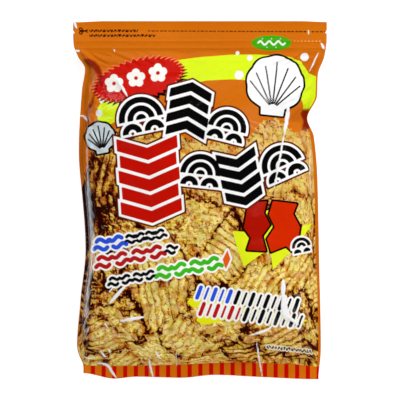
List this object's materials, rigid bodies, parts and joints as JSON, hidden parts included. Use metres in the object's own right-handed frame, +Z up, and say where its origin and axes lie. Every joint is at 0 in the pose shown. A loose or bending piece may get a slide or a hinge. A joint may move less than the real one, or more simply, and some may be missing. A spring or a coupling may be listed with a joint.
{
  "type": "filled zip snack pouch",
  "caption": "Filled, heat-sealed snack pouch of printed film with a flat zip header, tear notches and a flat bottom seal, lying on its back with the front panel up.",
  "frame": {"origin": "on the surface the pouch lies on, under the middle of its outline", "axes": "+X across the pouch, +Y along it from the bottom seal to the zip header, +Z up out of the front panel"},
  "size_m": [0.241, 0.34, 0.0559],
  "materials": {
    "film": "glossy printed film"
  },
  "bodies": {
    "root": {"pouch": "film"}
  },
  "joints": []
}
